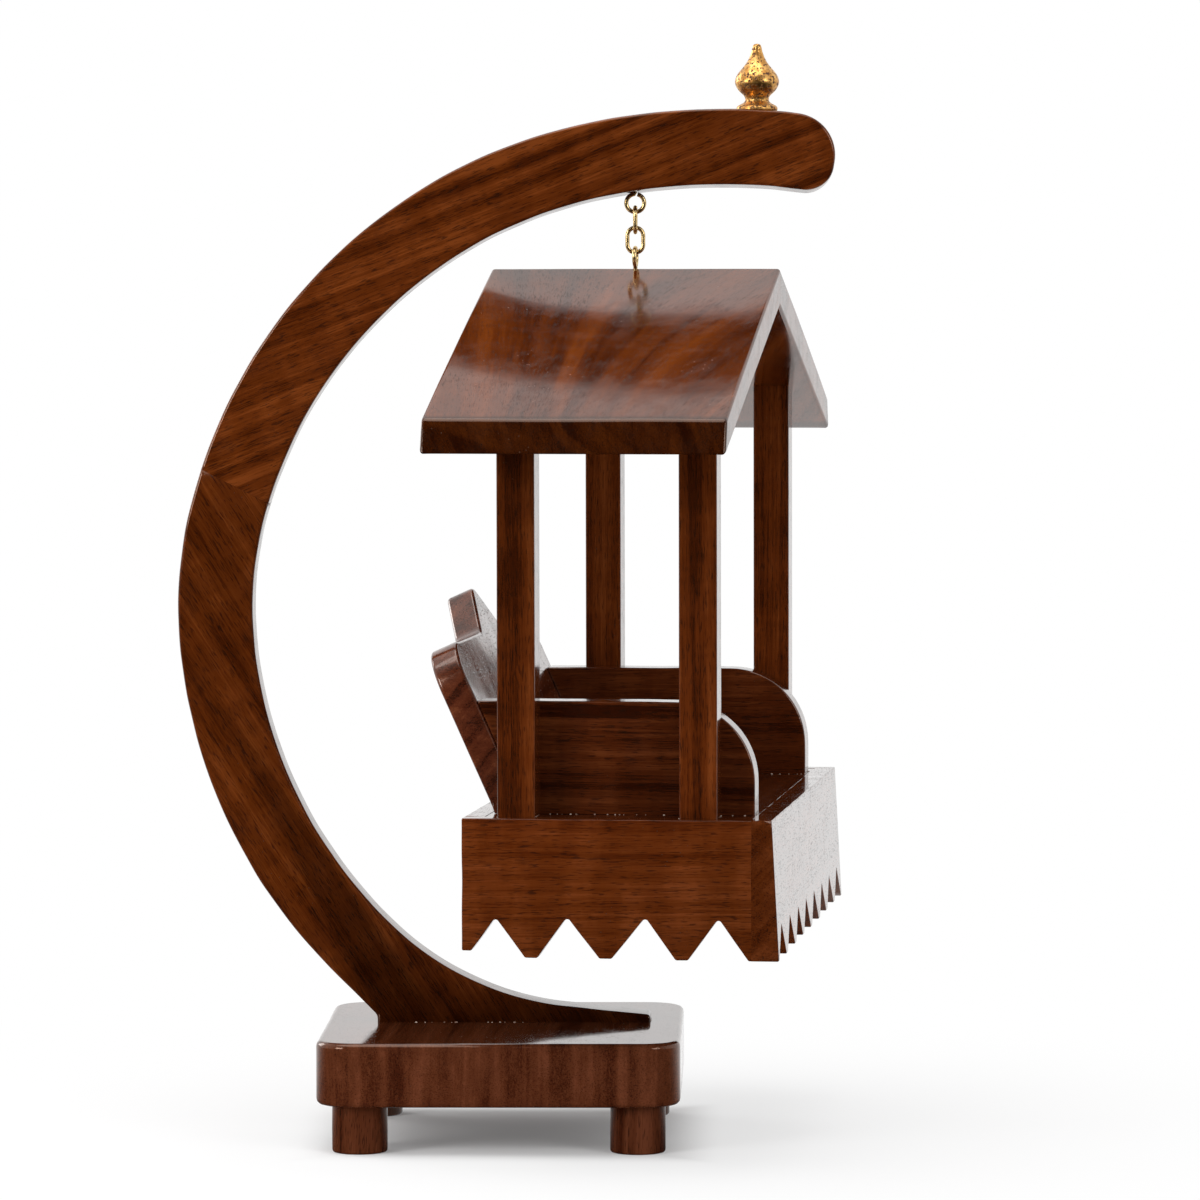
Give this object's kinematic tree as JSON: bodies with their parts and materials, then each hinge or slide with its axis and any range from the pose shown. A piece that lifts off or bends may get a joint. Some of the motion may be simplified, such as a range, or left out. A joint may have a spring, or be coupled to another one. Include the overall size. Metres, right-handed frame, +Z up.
{
  "type": "jhoola swing",
  "caption": "Table-top roofed bench swing with toothed skirt boards, hung by a short chain from a crescent wooden arm on a footed base, with a turned finial.",
  "frame": {"origin": "on the surface the piece stands on, under the centre of its square base", "axes": "+X is the way the swing's seat faces, +Z is up, -Y is the left side of someone who sits in it; the crescent arm stands in the XZ plane"},
  "size_m": [0.1865, 0.238, 0.3044],
  "materials": {
    "wood": "dark reddish-brown glossy lacquer over strong grain",
    "dowel": "plain hardwood dowel",
    "gilt": "mottled antique gold leaf over turned wood",
    "wire": "polished brass wire",
    "pins": "plain bright steel"
  },
  "bodies": {
    "stand": {"base_plate": "wood", "foot_front_left": "wood", "foot_front_right": "wood", "foot_back_left": "wood", "foot_back_right": "wood", "arm_upper": "wood", "arm_lower": "wood", "arm_dowels": "dowel", "arm_screws": "pins", "finial": "gilt", "finial_stud": "pins", "arm_eye": "wire"},
    "upper_link": {"upper_link": "wire"},
    "lower_link": {"lower_link": "wire"},
    "swing": {"ridge_eye": "wire", "roof_board_left": "wood", "roof_board_right": "wood", "post_front_left": "wood", "post_front_right": "wood", "post_back_left": "wood", "post_back_right": "wood", "seat_board": "wood", "skirt_front": "wood", "skirt_back": "wood", "skirt_left": "wood", "skirt_right": "wood", "side_panel_left": "wood", "side_panel_right": "wood", "backrest": "wood", "roof_pins": "pins", "skirt_pins": "pins", "seat_upright_pins": "pins", "ridge_dowels": "dowel"}
  },
  "joints": [
    {"name": "swing_fore_aft", "type": "hinge", "parent": "stand", "child": "upper_link", "pos_m": [0.0371, 0.0065, 0.25896], "axis": [0, 1, 0], "range_deg": [-15, 7]},
    {"name": "swing_sideways", "type": "hinge", "parent": "upper_link", "child": "lower_link", "pos_m": [0.0371, 0.0065, 0.25331], "axis": [1, 0, 0], "range_deg": [-10, 10]},
    {"name": "swing_turn", "type": "hinge", "parent": "lower_link", "child": "swing", "pos_m": [0.0371, 0.0065, 0.24766], "axis": [0, 0, 1], "range_deg": [-12, 12]}
  ]
}
